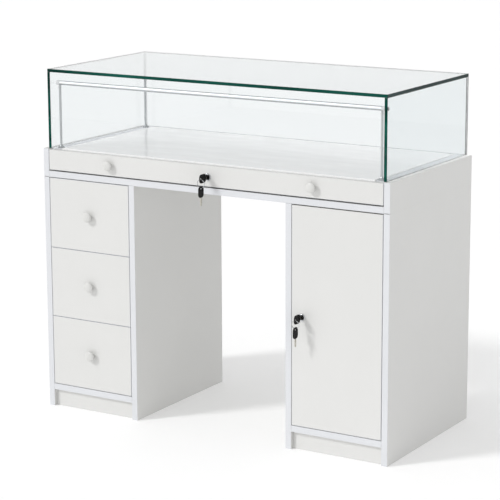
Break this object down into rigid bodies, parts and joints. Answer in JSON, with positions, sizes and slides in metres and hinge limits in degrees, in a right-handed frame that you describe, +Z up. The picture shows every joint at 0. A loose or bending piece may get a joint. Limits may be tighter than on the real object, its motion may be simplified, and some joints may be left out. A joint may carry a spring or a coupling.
{
  "type": "shop checkout counter",
  "caption": "White shop counter with an open-backed glass display case over a locking display drawer, a drawer pedestal, a locking cupboard and a kneehole.",
  "frame": {"origin": "on the floor, at the middle of the object's box in X and Y (the hanging keys count in the box)", "axes": "+Z up, -Y towards the staff side with the drawers and door, +X towards the cupboard"},
  "size_m": [1, 0.492, 0.893],
  "materials": {
    "melamine": "satin",
    "deck_white": "gloss",
    "glass": "polished",
    "knob_white": "satin",
    "steel": "nickel plated",
    "zinc": "zinc plated",
    "post_metal": "satin anodised",
    "tube_white": "satin diffuser",
    "key_black": "moulded",
    "drawer_white": "satin"
  },
  "bodies": {
    "counter": {"upper_side_left": "melamine", "upper_side_right": "melamine", "base_board": "melamine", "upper_back": "melamine", "ledge_left": "melamine", "ledge_right": "melamine", "glass_left": "glass", "glass_right": "glass", "glass_back": "glass", "glass_top": "glass", "led_tube": "tube_white", "led_post_left": "post_metal", "led_post_right": "post_metal", "rear_post": "post_metal", "display_runner_left": "zinc", "display_runner_right": "zinc", "left_pedestal_outer_side": "melamine", "left_pedestal_inner_side": "melamine", "left_pedestal_bottom": "melamine", "left_pedestal_plinth": "melamine", "left_pedestal_back": "melamine", "right_pedestal_outer_side": "melamine", "right_pedestal_inner_side": "melamine", "right_pedestal_bottom": "melamine", "right_pedestal_plinth": "melamine", "right_pedestal_back": "melamine", "runner_bottom_left": "zinc", "runner_bottom_right": "zinc", "runner_middle_left": "zinc", "runner_middle_right": "zinc", "runner_top_left": "zinc", "runner_top_right": "zinc", "cupboard_shelf": "melamine", "hinge_arm_lower": "zinc", "hinge_arm_upper": "zinc"},
    "display_drawer": {"display_front": "melamine", "display_deck": "deck_white", "display_knob_left": "knob_white", "display_knob_right": "knob_white", "display_lock_housing": "steel"},
    "display_plug": {"display_lock_plug": "steel", "display_key": "key_black"},
    "display_spare": {"display_spare_key": "key_black"},
    "cupboard_door": {"cupboard_door": "melamine", "hinge_cup_lower": "zinc", "hinge_cup_upper": "zinc", "cupboard_lock_housing": "steel"},
    "cupboard_plug": {"cupboard_lock_plug": "steel", "cupboard_key": "key_black"},
    "cupboard_spare": {"cupboard_spare_key": "key_black"},
    "drawer_bottom": {"drawer_front_bottom": "melamine", "drawer_box_bottom": "drawer_white", "drawer_knob_bottom": "knob_white"},
    "drawer_middle": {"drawer_front_middle": "melamine", "drawer_box_middle": "drawer_white", "drawer_knob_middle": "knob_white"},
    "drawer_top": {"drawer_front_top": "melamine", "drawer_box_top": "drawer_white", "drawer_knob_top": "knob_white"}
  },
  "joints": [
    {"name": "display_drawer_slide", "type": "slide", "parent": "counter", "child": "display_drawer", "axis": [0, -1, 0], "range_m": [0, 0.3]},
    {"name": "drawer_top_slide", "type": "slide", "parent": "counter", "child": "drawer_top", "axis": [0, -1, 0], "range_m": [0, 0.26]},
    {"name": "drawer_middle_slide", "type": "slide", "parent": "counter", "child": "drawer_middle", "axis": [0, -1, 0], "range_m": [0, 0.26]},
    {"name": "drawer_bottom_slide", "type": "slide", "parent": "counter", "child": "drawer_bottom", "axis": [0, -1, 0], "range_m": [0, 0.26]},
    {"name": "cupboard_door_hinge", "type": "hinge", "parent": "counter", "child": "cupboard_door", "pos_m": [0.482, -0.204, 0.3375], "axis": [0, 0, 1], "range_deg": [0, 105]},
    {"name": "display_lock_turn", "type": "hinge", "parent": "display_drawer", "child": "display_plug", "pos_m": [0, -0.204, 0.657], "axis": [0, 1, 0], "range_deg": [0, 90]},
    {"name": "cupboard_lock_turn", "type": "hinge", "parent": "cupboard_door", "child": "cupboard_plug", "pos_m": [0.2655, -0.204, 0.3375], "axis": [0, 1, 0], "range_deg": [0, 90]},
    {"name": "display_spare_swing", "type": "hinge", "parent": "display_plug", "child": "display_spare", "pos_m": [0, -0.235, 0.6555], "axis": [1, 0, 0], "range_deg": [-60, 20]},
    {"name": "cupboard_spare_swing", "type": "hinge", "parent": "cupboard_plug", "child": "cupboard_spare", "pos_m": [0.2655, -0.235, 0.336], "axis": [1, 0, 0], "range_deg": [-60, 20]}
  ]
}
